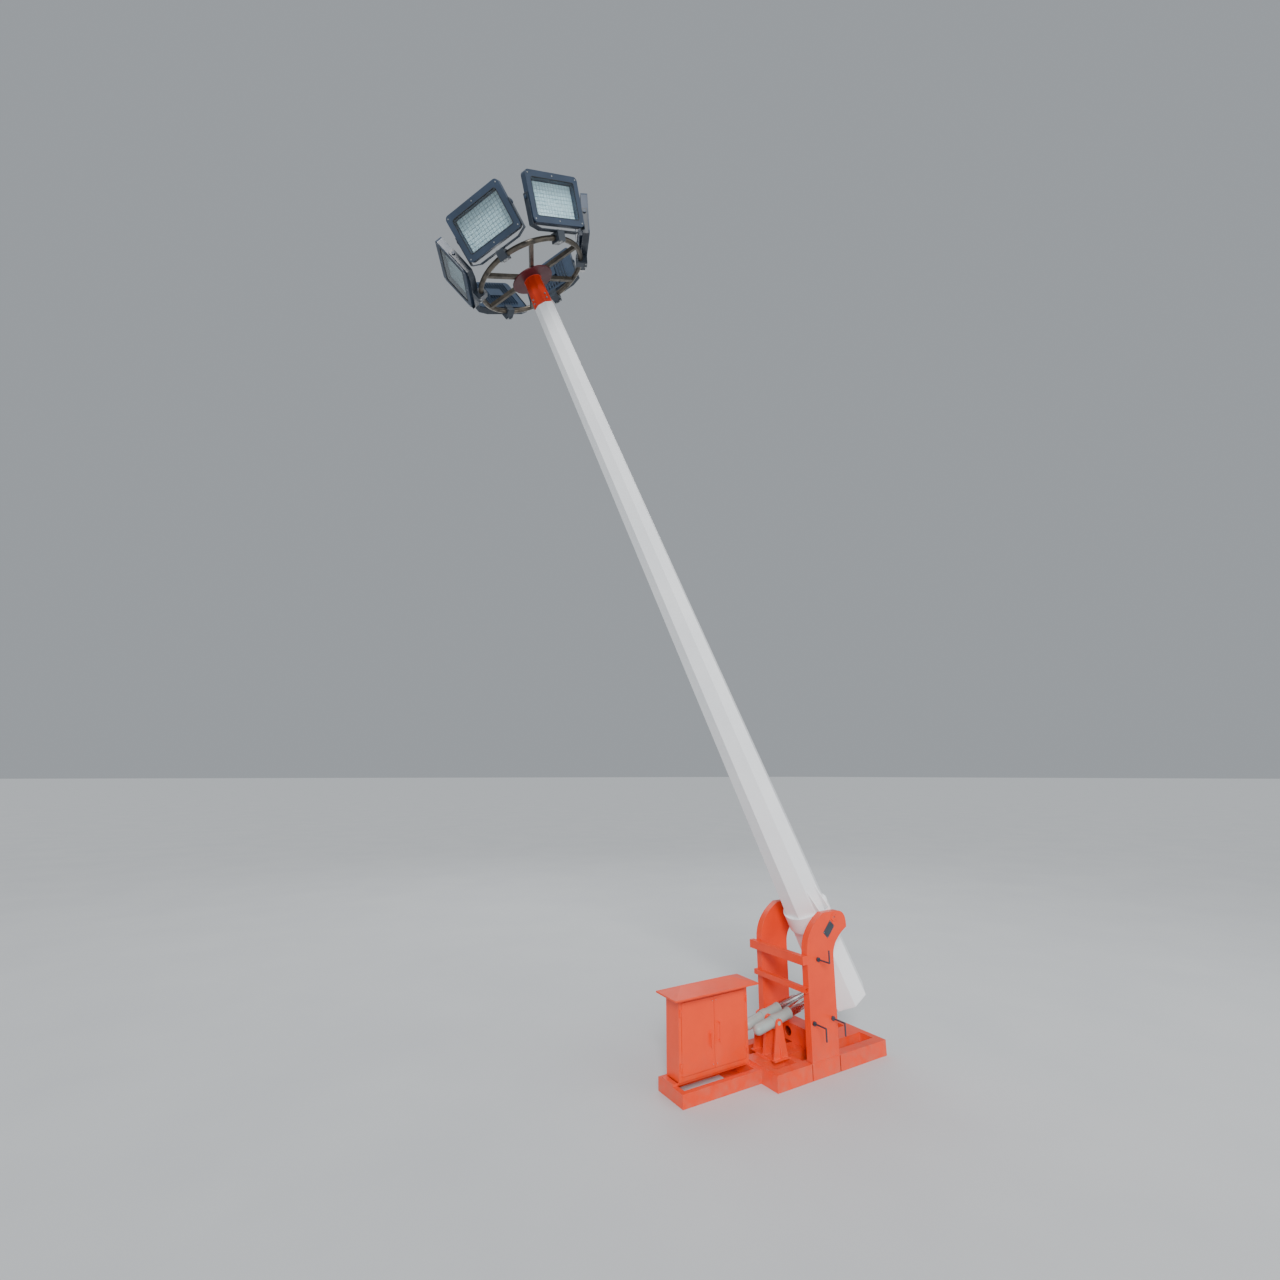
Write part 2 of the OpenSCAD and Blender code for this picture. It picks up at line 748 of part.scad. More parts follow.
module mast_side_plates() {
    rim = pin_d / 2 + 32;
    apex_hi = 300;
    apex_lo = -350;
    color(mast_white) on_mast() for (side = [-1, 1]) {
        difference() {
            union() {
                for (x = [-plate_x - plate_t / 2, plate_x - plate_t / 2])
                    translate([x, 0, 0]) rotate([90, 0, 90]) linear_extrude(plate_t)
                        polygon([[side * 150, apex_hi], [side * (pole_width(apex_hi) / 2), apex_hi],
                            [side * plate_end, rim], [side * plate_end, -rim],
                            [side * (pole_width(apex_lo) / 2), apex_lo], [side * 150, apex_lo]]);
                translate([-plate_x, side > 0 ? plate_end - 12 : -plate_end, -rim])
                    cube([2 * plate_x, 12, 2 * rim]);
            }
            octagon(apex_lo - 1, apex_hi + 1);
            translate([0, side * (up_in - 60), 0]) rotate([-90 * side, 0, 0])
                cylinder(d = pin_d, h = 70);
        }
    }
}

module trunnion_pins() {
    from = pole_width(-pin_d / 2) / 2;
    color(slate) on_mast() for (side = [-1, 1])
        rotate([-90 * side, 0, 0]) translate([0, 0, from])
            cylinder(d = pin_d, h = main_y1 - contact_gap - from);
}

module butt_plate() {
    color(mast_white) on_mast() difference() {
        octagon(-pole_down - 10, -pole_down);
        translate([0, 0, -pole_down - 11]) cylinder(d = 60, h = 12);
    }
}

module butt_ballast() {
    depth = 240;
    color("dimgray") on_mast()
        octagon(-pole_down, -pole_down + depth, -2 * pole_wall - 2 * contact_gap);
}

module mast_ram_lugs() {
    half = 90;
    face = pole_width(-lug_down) / 2;
    color(mast_white) on_mast() difference() {
        for (y = [-ram_y, ram_y])
            translate([0, y + lug_t / 2, 0]) rotate([90, 0, 0]) linear_extrude(lug_t) union() {
                translate([-lug_out, -lug_down]) circle(lug_r);
                polygon([[-lug_out, -lug_down + lug_r], [-face + 8, -lug_down + half],
                    [-face + 8, -lug_down - half], [-lug_out, -lug_down - lug_r]]);
            }
        octagon(-lug_down - half - 1, -lug_down + half + 1);
    }
}

// ---- head ----

module head_socket() {
    color([0.85, 0.30, 0.18]) on_mast() difference() {
        translate([0, 0, pole_up]) rotate([0, 0, 22.5])
            cylinder(r1 = corner_r(pole_af_top), r2 = corner_r(pole_af_top - socket_narrow),
                h = socket_len, $fn = 8);
        octagon(pole_up - 1, pole_up + spigot, -2 * socket_wall);
        translate([0, 0, pole_up + spigot - 1]) cylinder(d = 130, h = socket_len);
        for (a = [0:90:270], z = socket_bolt_z) translate([0, 0, pole_up + z]) rotate([90, 0, a])
            cylinder(d = 12, h = 200);
    }
}

module socket_bolts() {
    color(slate) on_mast() for (a = [0:90:270], z = socket_bolt_z)
        translate([0, 0, pole_up + z]) rotate([90, 0, a]) translate([0, 0, socket_flat(z) + contact_gap])
            rotate([0, 0, 30]) cylinder(d = 20, h = 8, $fn = 6);
}

module head_flange() {
    color(maroon) on_mast() translate([0, 0, flange_z]) difference() {
        cylinder(r = flange_r, h = flange_t);
        translate([0, 0, -1]) cylinder(d = 90, h = flange_t + 2);
    }
}

module lamp_ring() {
    color(slate) on_mast() translate([0, 0, pole_up + ring_up])
        rotate_extrude($fn = 96) translate([ring_r, 0]) difference() {
            circle(d = ring_d);
            circle(d = ring_d - 7);
        }
}

module ring_spokes() {
    z0 = flange_z + flange_t;
    z1 = pole_up + ring_up;
    inner = 120;
    color(slate) on_mast() difference() {
        for (k = [0:lamp_count - 1]) rotate([0, 0, lamp_turn + (k + 0.5) * lamp_step])
            translate([inner, -17, z0]) cube([ring_r - inner, 34, z1 - z0 + 14]);
        translate([0, 0, z1]) rotate_extrude($fn = 96)
            translate([ring_r, 0]) circle(d = ring_d + 2 * run_fit);
    }
}

module ring_clamps() {
    color(slate) difference() {
        for (k = [0:lamp_count - 1]) on_clamp(k) difference() {
            translate([clamp_x0, -clamp_y / 2, -clamp_z])
                cube([clamp_x1 - clamp_x0, clamp_y, 2 * clamp_z]);
            translate([clamp_x0 - 1, -clamp_y, -1.5])
                cube([26, 2 * clamp_y, 3]);
            for (y = [-24, 24]) translate([lamp_px + 14, y, -clamp_z - 1])
                cylinder(d = 12.1, h = 2 * clamp_z + 2);
        }
        on_mast() translate([0, 0, pole_up + ring_up])
            rotate_extrude($fn = 96) translate([ring_r, 0]) circle(d = ring_d + 2 * run_fit);
    }
}

module clamp_bolts() {
    color(slate) for (k = [0:lamp_count - 1]) on_clamp(k) for (y = [-24, 24])
        translate([lamp_px + 14, y, clamp_z + strap_t]) {
            bolt(12, 2 * clamp_z + strap_t + 12);
            translate([0, 0, -2 * clamp_z - strap_t - 10]) cylinder(d = 21, h = 10, $fn = 6);
        }
}

module lamp_yokes() {
    low = clamp_z;
    knee = low + yoke_rise;
    top = lamp_pz + 34;
    flat_half = yoke_half - yoke_bevel;
    color(slate) for (k = [0:lamp_count - 1]) on_clamp(k) difference() {
        union() {
            translate([strap_x, -flat_half, low]) cube([strap_w, 2 * flat_half, strap_t]);
            for (m = [0, 1]) mirror([0, m, 0]) {
                translate([strap_x + strap_w, 0, 0]) rotate([90, 0, -90]) linear_extrude(strap_w)
                    polygon([[-flat_half, low], [-flat_half + 1, low + strap_t],
                        [-yoke_half + strap_t, knee + 2], [-yoke_half, knee]]);
                translate([strap_x, yoke_half - strap_t, knee]) cube([strap_w, strap_t, top - knee]);
            }
        }
        translate([lamp_px, -yoke_half - 1, lamp_pz]) rotate([-90, 0, 0])
            cylinder(d = lamp_bolt_d + 2 * run_fit, h = 2 * yoke_half + 2);
        for (y = [-24, 24]) translate([lamp_px + 14, y, low - 1]) cylinder(d = 12.1, h = strap_t + 2);
    }
}

// a lamp's own frame: z outward through the glass, x along its width, y up
module on_lamp(k) {
    on_clamp(k) translate([lamp_px, 0, lamp_pz]) rotate([90, 0, 90]) children();
}

module lamp(k) {
    front = lamp_d - lamp_back;
    cavity_w = lamp_w - 2 * lamp_border;
    cavity_h = lamp_h - 2 * lamp_border;
    fin_w = 400;
    fins = 13;
    color(lamp_blue) on_lamp(k) {
        difference() {
            union() {
                translate([0, 0, -lamp_back]) linear_extrude(lamp_d)
                    round_rect(lamp_w, lamp_h, lamp_corner);
                for (i = [0:fins - 1])
                    translate([-fin_w / 2 + i * (fin_w - 4) / (fins - 1), -lamp_h / 2 + 40, -lamp_back - 26])
                        cube([4, lamp_h - 80, 27]);
                translate([-90, -55, -lamp_back - 30]) cube([180, 110, 31]);
            }
            translate([0, 0, -lamp_back + 6]) linear_extrude(lamp_d)
                round_rect(cavity_w - 12, cavity_h - 12, 14);
            translate([0, 0, front - glass_t - 3]) linear_extrude(lamp_d)
                round_rect(cavity_w, cavity_h, 20);
            for (s = [-1, 1]) translate([s * (lamp_w / 2 - 20), 0, 0]) rotate([0, 90 * s, 0])
                cylinder(d = lamp_bolt_d, h = 30);
        }
        translate([-cavity_w / 2 + 10, -cavity_h / 2 + 10, -lamp_back + 6])
            cube([cavity_w - 20, cavity_h - 20, 6]);
        for (s = [-1, 1]) translate([s * (lamp_w / 2 - 20), 0, 0]) rotate([0, 90 * s, 0]) {
            cylinder(d = lamp_bolt_d, h = 20 + lamp_side_gap + strap_t + 1);
            translate([0, 0, 20 + lamp_side_gap + strap_t + 1]) cylinder(d = 34, h = 9, $fn = 6);
        }
    }
}

module lamp_glass(k) {
    front = lamp_d - lamp_back;
    color([0.70, 0.80, 0.84, 0.6]) on_lamp(k) translate([0, 0, front - glass_t - 3])
        linear_extrude(glass_t)
            round_rect(lamp_w - 2 * lamp_border - 1, lamp_h - 2 * lamp_border - 1, 19.5);
}

// ---- crank handles ----

// crank whose arm points up (dir 1) or down (dir -1)
module crank(place, dir) {
    color(slate) translate([place[0], -main_y1, place[1]]) {
        rotate([-90, 0, 0]) cylinder(d = crank_d, h = up_t);
        rotate([90, 0, 0]) cylinder(d = crank_boss_d, h = 16);
        rotate([90, 0, 0]) cylinder(d = crank_d, h = crank_out);
        translate([0, -crank_out, 0]) sphere(d = crank_d);
        translate([0, -crank_out, dir > 0 ? 0 : -crank_arm]) cylinder(d = crank_d, h = crank_arm);
    }
}

module crank_upper() { crank(crank_places[0], 1); }
module crank_lower_left() { crank(crank_places[1], -1); }
module crank_lower_right() { crank(crank_places[2], -1); }

skid_main_frame();
skid_cabinet_frame();
anchor_feet();
upright_near();
upright_far();
foot_crossbeam();
upper_cross_tube();
lower_cross_tube();
trunnion_bushes();
trunnion_caps();
ram_bracket();
cabinet_plinth();
cabinet_shell();
cabinet_roof();
cabinet_mounting_plate();
circuit_breakers();
pump_unit();
cable_gland();
door_hinge_leaves();
door_left();
door_right();
door_lever();
door_pull();
mast_pole();
mast_band();
mast_side_plates();
trunnion_pins();
butt_plate();
butt_ballast();
mast_ram_lugs();
head_socket();
socket_bolts();
head_flange();
lamp_ring();
ring_spokes();
ring_clamps();
clamp_bolts();
lamp_yokes();
ram_barrels();
ram_stage_one();
ram_stage_two();
ram_rods();
crank_upper();
crank_lower_left();
crank_lower_right();
lamp(0);  // lamp_1
lamp(1);  // lamp_2
lamp(2);  // lamp_3
lamp(3);  // lamp_4
lamp(4);  // lamp_5
lamp(5);  // lamp_6
lamp_glass(0);  // lamp_glass_1
lamp_glass(1);  // lamp_glass_2
lamp_glass(2);  // lamp_glass_3
lamp_glass(3);  // lamp_glass_4
lamp_glass(4);  // lamp_glass_5
lamp_glass(5);  // lamp_glass_6
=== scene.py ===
# %% [markdown]
# A tilting lighting mast on an orange skid, dressed for a soft studio picture.
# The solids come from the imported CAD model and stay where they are.
# The cells below give them finishes and add the fine parts that the solids leave out:
# the LED lens pads, the glass seals, the bezel screws, the weld beads and the lock covers.
# Lengths are metres. +Z is up, +X runs from the cabinet to the foot of the mast,
# and -Y is the side with the doors and the crank handles.

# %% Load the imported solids
import json
import math

import bpy
from mathutils import Matrix, Vector


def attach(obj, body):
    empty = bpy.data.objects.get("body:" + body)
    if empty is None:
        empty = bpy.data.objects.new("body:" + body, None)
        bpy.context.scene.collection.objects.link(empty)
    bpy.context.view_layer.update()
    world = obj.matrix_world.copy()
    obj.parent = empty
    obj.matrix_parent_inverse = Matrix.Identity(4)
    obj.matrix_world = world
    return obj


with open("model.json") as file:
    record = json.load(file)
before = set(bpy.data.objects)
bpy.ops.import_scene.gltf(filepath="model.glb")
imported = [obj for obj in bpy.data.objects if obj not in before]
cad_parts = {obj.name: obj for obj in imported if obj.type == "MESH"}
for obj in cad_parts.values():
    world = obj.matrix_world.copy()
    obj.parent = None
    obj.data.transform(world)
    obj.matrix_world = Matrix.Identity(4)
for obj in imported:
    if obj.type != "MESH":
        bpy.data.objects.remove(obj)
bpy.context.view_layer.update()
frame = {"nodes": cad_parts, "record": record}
nodes = frame["nodes"]

# %% [markdown]
# The mast leans 28 degrees and carries six lamps on a ring. These frames match the solids:
# one runs up the mast from the trunnions, and one sits in the middle of each lamp with its
# z axis pointing out through the glass. The numbers repeat the CAD model's sizes.

# %% Frames of the mast and of each lamp
LEAN = math.radians(28)
TRUNNION = Vector((0.105, 0.0, 1.390))
POLE_TOP = 6.860
RING_HEIGHT = 7.185
RING_RADIUS = 0.540
LAMP_COUNT = 6
LAMP_TURN = math.radians(36)
LAMP_STEP = 2 * math.pi / LAMP_COUNT
CLAMP_TILT = math.radians(20)
LAMP_PIVOT = (0.038, 0.0, 0.293)
QUARTER = math.radians(90)
LAMP_W, LAMP_H = 0.600, 0.410
BORDER = 0.052
GLASS_FACE = 0.039
BEZEL_FACE = 0.042

mast_frame = Matrix.Translation(TRUNNION) @ Matrix.Rotation(-LEAN, 4, "Y")


def lamp_frame(k):
    """Frame of lamp k: x across its width, y up the lamp, z out through the glass."""
    turn = Matrix.Rotation(LAMP_TURN + LAMP_STEP * k, 4, "Z")
    clamp = (mast_frame @ Matrix.Translation((0, 0, RING_HEIGHT)) @ turn
             @ Matrix.Translation((RING_RADIUS, 0, 0)) @ Matrix.Rotation(CLAMP_TILT, 4, "Y"))
    face = Matrix.Rotation(QUARTER, 4, "Z") @ Matrix.Rotation(QUARTER, 4, "X")
    return clamp @ Matrix.Translation(LAMP_PIVOT) @ face


print("lamp 1 stands at", [round(c, 2) for c in lamp_frame(0).translation])

# %% [markdown]
# Colours are written as the eye sees them and turned into light values in one place.
# `add` makes a shader node, sets its values and links its inputs in one line.

# %% Colour and node helpers


def light(code):
    """Linear colour from an sRGB hex code."""
    parts = [int(code[i:i + 2], 16) / 255 for i in (1, 3, 5)]
    return tuple(c / 12.92 if c <= 0.04045 else ((c + 0.055) / 1.055) ** 2.4 for c in parts) + (1.0,)


def add(tree, kind, values=None, links=None, **settings):
    """One shader node with its settings, socket values and incoming links."""
    node = tree.nodes.new("ShaderNode" + kind)
    for key, value in settings.items():
        setattr(node, key, value)
    for key, value in (values or {}).items():
        node.inputs[key].default_value = value
    for key, socket in (links or {}).items():
        tree.links.new(socket, node.inputs[key])
    return node


def new_material(name):
    """Empty node material with a principled shader already joined to the output."""
    mat = bpy.data.materials.new(name)
    mat.use_nodes = True
    tree = mat.node_tree
    tree.nodes.clear()
    shader = add(tree, "BsdfPrincipled")
    out = add(tree, "OutputMaterial")
    tree.links.new(shader.outputs["BSDF"], out.inputs["Surface"])
    return mat, tree, shader


def noise(tree, where, size, detail=4.0, rough=0.55):
    """Noise whose blobs are about `size` metres across."""
    made = add(tree, "TexNoise", {"Scale": 1 / size, "Detail": detail, "Roughness": rough},
               {"Vector": where})
    return made.outputs["Fac"]


def ramp(tree, socket, low, high, dark=0.0, bright=1.0):
    """Maps low..high onto dark..bright and holds it there outside."""
    made = add(tree, "MapRange", {"From Min": low, "From Max": high, "To Min": dark, "To Max": bright},
               {"Value": socket})
    return made.outputs["Result"]


def combine(tree, a, b, operation="MULTIPLY"):
    """Two values joined by one operation; the second may be a number."""
    made = add(tree, "Math", links={0: a}, operation=operation)
    if isinstance(b, float):
        made.inputs[1].default_value = b
    else:
        tree.links.new(b, made.inputs[1])
    return made.outputs["Value"]


MIX_COLOURS, MIX_RESULT = (6, 7), 2


def blend(tree, share, first, second):
    """Colour between two colours; either may be a hex code or a socket."""
    made = add(tree, "Mix", data_type="RGBA")
    tree.links.new(share, made.inputs["Factor"])
    for place, colour in zip(MIX_COLOURS, (first, second)):
        if isinstance(colour, str):
            made.inputs[place].default_value = light(colour)
        else:
            tree.links.new(colour, made.inputs[place])
    return made.outputs[MIX_RESULT]


# %% [markdown]
# Paint on the skid, cabinet and mast ages in the same way: it is a little uneven in tone,
# it chips to grey primer along the folds, and dust settles on it low down and on level faces.

# %% Painted steel


def painted(name, colour, deep, rough=0.38, chip=0.35, dust=0.5, peel=0.004, tone=0.35):
    """Enamel over steel: slow tone drift, worn folds, settled dust and a fine orange peel."""
    mat, tree, shader = new_material(name)
    place = add(tree, "TexCoord").outputs["Object"]
    geometry = add(tree, "NewGeometry")
    drift = ramp(tree, noise(tree, place, tone), 0.35, 0.68)
    body = blend(tree, drift, colour, deep)

    # folds and corners, where handling wears the paint through
    soft = add(tree, "Bevel", {"Radius": 0.004}, samples=4).outputs["Normal"]
    apart = add(tree, "VectorMath", links={0: soft, 1: geometry.outputs["Normal"]},
                operation="DOT_PRODUCT").outputs["Value"]
    fold = ramp(tree, apart, 0.985, 0.90)
    patch = ramp(tree, noise(tree, place, 0.03, 6.0), 0.56, 0.64)
    worn = combine(tree, combine(tree, fold, patch), chip)
    body = blend(tree, worn, body, "#8C8F8E")

    # dust on level faces and near the ground
    height = add(tree, "SeparateXYZ", links={0: place}).outputs["Z"]
    low = ramp(tree, height, 0.42, 0.0)
    level = add(tree, "SeparateXYZ", links={0: geometry.outputs["Normal"]}).outputs["Z"]
    shelf = combine(tree, ramp(tree, level, 0.55, 1.0), 0.35)
    settle = combine(tree, low, shelf, "MAXIMUM")
    cloud = ramp(tree, noise(tree, place, 0.09, 7.0, 0.62), 0.38, 0.78)
    dirty = combine(tree, combine(tree, settle, cloud), dust)
    body = blend(tree, dirty, body, "#A2937C")

    tree.links.new(body, shader.inputs["Base Color"])
    gloss = ramp(tree, noise(tree, place, 0.12), 0.3, 0.7, rough - 0.05, rough + 0.07)
    gloss = combine(tree, gloss, combine(tree, dirty, 0.35), "ADD")
    tree.links.new(gloss, shader.inputs["Roughness"])
    bump = add(tree, "Bump", {"Strength": 0.10, "Distance": 0.0004},
               {"Height": noise(tree, place, peel, 2.0), "Normal": soft})
    tree.links.new(bump.outputs["Normal"], shader.inputs["Normal"])
    shader.inputs["Coat Weight"].default_value = 0.15
    shader.inputs["Coat Roughness"].default_value = 0.2
    return mat


# sprayed machinery enamel: warm orange, slightly uneven, dusty at the ground
skid_enamel = painted("orange_machinery_enamel_on_plate", "#FB4204", "#EE3902", 0.38, 0.55, 0.40)
# powder coat on thin sheet: smoother and cleaner than the skid
cabinet_powder = painted("orange_powder_coat_on_sheet", "#FC4504", "#F33E03", 0.36, 0.30, 0.30, 0.003)
# white polyester coat over plate: cool and even, with a slow faint change of tone
mast_coat = painted("white_polyester_coat_on_plate", "#FCFDFE", "#F4F6F8", 0.38, 0.15, 0.18, 0.004, 0.5)
# red-orange enamel on the head socket: deeper and glossier than the skid
socket_enamel = painted("red_orange_enamel_on_socket", "#E2390F", "#C42D0C", 0.34, 0.5, 0.3)
# dark red oxide primer: flat and brownish
oxide_primer = painted("red_oxide_primer_on_flange", "#5A1420", "#430F18", 0.5, 0.3, 0.2)
# blue-grey stove enamel on handles and yokes
slate_enamel = painted("slate_stove_enamel_on_bar", "#39424D", "#2C343E", 0.36, 0.6, 0.3, 0.003, 0.2)
# dark powder coat of the lamp castings
lamp_powder = painted("lamp_case_powder_coat", "#35465C", "#2B3A4D", 0.42, 0.35, 0.25, 0.002, 0.25)
# grey-green undercoat on the ram barrels
barrel_paint = painted("grey_green_ram_undercoat", "#A9B3AF", "#949F9B", 0.42, 0.5, 0.40, 0.003)
# soot-grey paint of the pump set
pump_paint = painted("dark_pump_paint", "#4A4D50", "#3C3F42", 0.5, 0.5, 0.5)
print("eight painted finishes and the pump paint")

# %% [markdown]
# Bare metals are shiny in a way that follows how they were made: turned, plated or cast.

# %% Bare metals


def bare(name, colour, deep, rough, grain=(1.0, 1.0, 1.0), size=0.004, metal=1.0, depth=0.06):
    """Metal with fine marks that can be stretched along one direction."""
    mat, tree, shader = new_material(name)
    place = add(tree, "TexCoord").outputs["Object"]
    laid = add(tree, "Mapping", {"Scale": grain}, {"Vector": place}).outputs["Vector"]
    marks = noise(tree, laid, size, 5.0)
    stain = ramp(tree, noise(tree, place, 0.06, 6.0), 0.42, 0.72)
    tree.links.new(blend(tree, stain, colour, deep), shader.inputs["Base Color"])
    shine = ramp(tree, marks, 0.3, 0.7, rough - 0.07, rough + 0.09)
    shine = combine(tree, shine, combine(tree, stain, 0.10), "ADD")
    tree.links.new(shine, shader.inputs["Roughness"])
    bump = add(tree, "Bump", {"Strength": depth, "Distance": 0.0003}, {"Height": marks})
    tree.links.new(bump.outputs["Normal"], shader.inputs["Normal"])
    shader.inputs["Metallic"].default_value = metal
    return mat


# bright zinc on bolts and pins: pale grey with a soft bloom
zinc = bare("zinc_plated_fasteners", "#B9BCBD", "#9A9C99", 0.34, size=0.006)
# hard chrome of the ram stages: long faint marks round the tube
ram_chrome = bare("ground_chrome_ram_stage", "#C3C8C9", "#A8AEAE", 0.20, (6.0, 1.0, 1.0), 0.02)
# oiled bearing bronze
bronze = bare("oiled_bearing_bronze", "#B58A4C", "#8C6636", 0.36, size=0.003)
# weathered tube of the ring: brown-grey mill skin that still takes a highlight
ring_steel = bare("weathered_ring_tube", "#6E675D", "#4A4743", 0.36, size=0.01, metal=0.85)
# cast iron weights: dark and grainy
iron = bare("grey_cast_iron", "#55575A", "#434548", 0.62, size=0.002, depth=0.25)
# galvanised sheet: large pale spangles
spangle = bare("galvanised_sheet", "#B4B8BA", "#9EA3A6", 0.38, size=0.012)
print("six bare metals")

# %% [markdown]
# The lamps carry flat toughened glass over rows of LED lens pads. Dust films the glass in faint patches.

# %% Glass, LED lens pads, rubber and plastic


def plastic(name, colour, deep, rough, size=0.02):
    """Moulded or rubbery surface with a fine grain and a slight change of tone."""
    mat, tree, shader = new_material(name)
    place = add(tree, "TexCoord").outputs["Object"]
    tree.links.new(blend(tree, ramp(tree, noise(tree, place, size), 0.35, 0.65), colour, deep),
                   shader.inputs["Base Color"])
    grain = noise(tree, place, 0.0015, 3.0)
    tree.links.new(ramp(tree, grain, 0.3, 0.7, rough - 0.06, rough + 0.08), shader.inputs["Roughness"])
    bump = add(tree, "Bump", {"Strength": 0.12, "Distance": 0.0002}, {"Height": grain})
    tree.links.new(bump.outputs["Normal"], shader.inputs["Normal"])
    return mat


def lamp_glass_material():
    """Toughened glass: clear with a faint blue-green cast and a film of dust."""
    mat, tree, shader = new_material("toughened_lamp_glass")
    place = add(tree, "TexCoord").outputs["Object"]
    film = ramp(tree, noise(tree, place, 0.10, 6.0), 0.45, 0.80, 0.0, 0.14)
    tree.links.new(ramp(tree, film, 0.0, 0.2, 0.03, 0.30), shader.inputs["Roughness"])
    tree.links.new(blend(tree, film, "#EAF6F8", "#D5DAD7"), shader.inputs["Base Color"])
    shader.inputs["IOR"].default_value = 1.52
    shader.inputs["Transmission Weight"].default_value = 1.0
    # shadow rays pass straight through, so that light reaches the board behind the pane
    through = add(tree, "BsdfTransparent", {"Color": light("#EDF7F8")})
    ray = add(tree, "LightPath").outputs["Is Shadow Ray"]
    pane = add(tree, "MixShader", links={"Fac": ray})
    tree.links.new(shader.outputs["BSDF"], pane.inputs[1])
    tree.links.new(through.outputs["BSDF"], pane.inputs[2])
    out = next(n for n in tree.nodes if n.type == "OUTPUT_MATERIAL")
    tree.links.new(pane.outputs["Shader"], out.inputs["Surface"])
    return mat


clear_glass = lamp_glass_material()
# pale silicone lens pads over the LED chips
led_lens = plastic("silicone_led_lens", "#EAF4F8", "#D3E4EC", 0.20)
# white solder mask between the lenses, coloured blue-grey as painted shade between the pads and a painted
# sky reflection from the glass
led_board = plastic("solder_mask_painted_shade_and_sky", "#7F97A8", "#6C8496", 0.45)
# black rubber seal round each glass
seal_rubber = plastic("black_seal_rubber", "#1D1F21", "#26292B", 0.62)
# light grey polyamide of the breakers
breaker_shell = plastic("light_grey_polyamide", "#C9CAC6", "#BDBEBA", 0.46)
# black nylon gland
gland_nylon = plastic("black_nylon", "#1B1C1F", "#232428", 0.5)
print("glass, lens, board, rubber and two plastics")

# %% [markdown]
# Every solid keeps its mesh. Only the material in its slots changes, chosen by the record's slot.

# %% Finish each solid
FINISH = {
    "skid_paint": skid_enamel, "sheet_paint": cabinet_powder, "mast_paint": mast_coat,
    "slate_steel": slate_enamel, "zinc_steel": zinc, "ram_paint": barrel_paint,
    "ram_chrome": ram_chrome, "bronze": bronze, "socket_paint": socket_enamel,
    "flange_paint": oxide_primer, "lamp_case": lamp_powder, "lamp_glass": clear_glass,
    "breaker_plastic": breaker_shell, "plate_zinc": spangle, "pump_cast": pump_paint,
    "ballast_iron": iron, "gland_nylon": gland_nylon,
}
slot_of = {s["node"]: s["material_slot"] for s in frame["record"]["subparts"]}
for name, piece in nodes.items():
    finish = ring_steel if name in ("lamp_ring", "ring_spokes") else FINISH[slot_of[name]]
    piece.data.materials.clear()
    piece.data.materials.append(finish)
print(len({slot_of[n] for n in nodes}), "finishes in use")

# %% [markdown]
# Fine pieces are plain meshes built straight in the row frame.
# `piece` makes one from points and faces and hangs it on a body.

# %% Mesh helpers


def piece(name, points, faces, material, body, slot, smooth=False):
    """Mesh in the row frame that rides on one body."""
    mesh = bpy.data.meshes.new(name)
    mesh.from_pydata([tuple(p) for p in points], [], faces)
    mesh.materials.append(material)
    for face in mesh.polygons:
        face.use_smooth = smooth
    mesh.update()
    made = bpy.data.objects.new(name, mesh)
    bpy.context.scene.collection.objects.link(made)
    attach(made, body)
    return made


def tube(path, radius, sides=8, closed=False, ripple=0.0):
    """Points and faces of a tube along a path; ripple swells every other ring."""
    points, faces = [], []
    count = len(path)
    for i, here in enumerate(path):
        after = path[(i + 1) % count] if closed or i < count - 1 else here
        before = path[i - 1] if closed or i > 0 else here
        along = (Vector(after) - Vector(before)).normalized()
        side = along.cross(Vector((0.31, 0.17, 0.93))).normalized()
        up = side.cross(along)
        swell = radius * (1 + ripple * (-1) ** i)
        for s in range(sides):
            turn = 2 * math.pi * s / sides
            points.append(Vector(here) + (side * math.cos(turn) + up * math.sin(turn)) * swell)
    last = count if closed else count - 1
    for i in range(last):
        for s in range(sides):
            a, b = i * sides + s, i * sides + (s + 1) % sides
            c, d = ((i + 1) % count) * sides + (s + 1) % sides, ((i + 1) % count) * sides + s
            faces.append((a, b, c, d))
    if not closed:
        faces.append(tuple(range(sides))[::-1])
        faces.append(tuple(range((count - 1) * sides, count * sides)))
    return points, faces


def joined(parts):
    """Several (points, faces) pairs as one."""
    points, faces = [], []
    for more, cells in parts:
        start = len(points)
        points += list(more)
        faces += [tuple(start + i for i in cell) for cell in cells]
    return points, faces


def stud(place, radius, height, sides=24, dome=0.35):
    """Round-headed screw in a frame, standing on its xy plane and closed at the bottom."""
    points, faces = [], []
    rings = [(1.0, 0.0), (1.0, 1 - dome), (0.86, 1 - 0.3 * dome), (0.5, 1.0)]
    for share, lift in rings:
        for s in range(sides):
            turn = 2 * math.pi * s / sides
            points.append(place @ Vector((radius * share * math.cos(turn),
                                          radius * share * math.sin(turn), height * lift)))
    for ring in range(len(rings) - 1):
        for s in range(sides):
            a, b = ring * sides + s, ring * sides + (s + 1) % sides
            faces.append((a, b, b + sides, a + sides))
    top = (len(rings) - 1) * sides
    faces.append(tuple(range(top, top + sides)))
    faces.append(tuple(range(sides))[::-1])
    return points, faces


# %% [markdown]
# Each lamp has a board of square lens pads in rows, a rubber seal round the glass and
# screws in its bezel. The glass sits a few millimetres behind the bezel's face.

